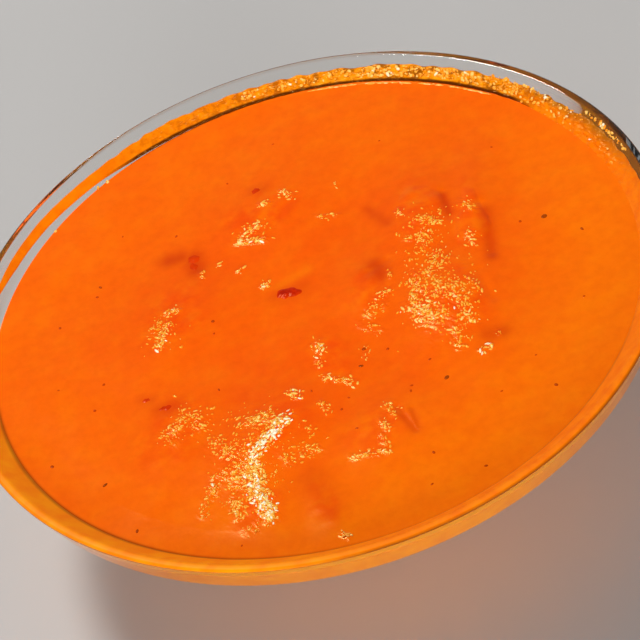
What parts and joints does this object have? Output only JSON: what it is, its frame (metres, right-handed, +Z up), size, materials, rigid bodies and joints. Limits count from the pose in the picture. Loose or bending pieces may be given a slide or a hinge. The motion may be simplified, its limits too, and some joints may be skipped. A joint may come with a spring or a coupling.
{
  "type": "bowl of butter chicken",
  "caption": "Shallow round clear-glass bowl on a low ring foot, filled nearly to its lip with smooth orange curry and sauce-coated chicken pieces.",
  "frame": {"origin": "centre of the ring foot, on the surface that the bowl stands on", "axes": "+Z up, +Y towards the far side of the bowl as it is usually looked at, +X to the right"},
  "size_m": [0.2, 0.2, 0.05],
  "materials": {
    "clear_glass": "smooth clear glass",
    "curry_sauce": "wet glossy sauce",
    "coated_chicken": "wet, uneven, coated with sauce"
  },
  "bodies": {
    "root": {"glass_bowl": "clear_glass", "curry": "curry_sauce", "chicken_ridge_back": "coated_chicken", "chicken_strip_right": "coated_chicken", "chicken_chunk_right": "coated_chicken", "chicken_bit_centre": "coated_chicken", "chicken_bit_south": "coated_chicken", "chicken_chunk_front": "coated_chicken", "chicken_tail_front": "coated_chicken", "chicken_chunk_left": "coated_chicken", "chicken_fold_front": "coated_chicken", "chicken_sliver_edge": "coated_chicken", "chicken_chunk_west": "coated_chicken", "chicken_chunk_north": "coated_chicken"}
  },
  "joints": []
}
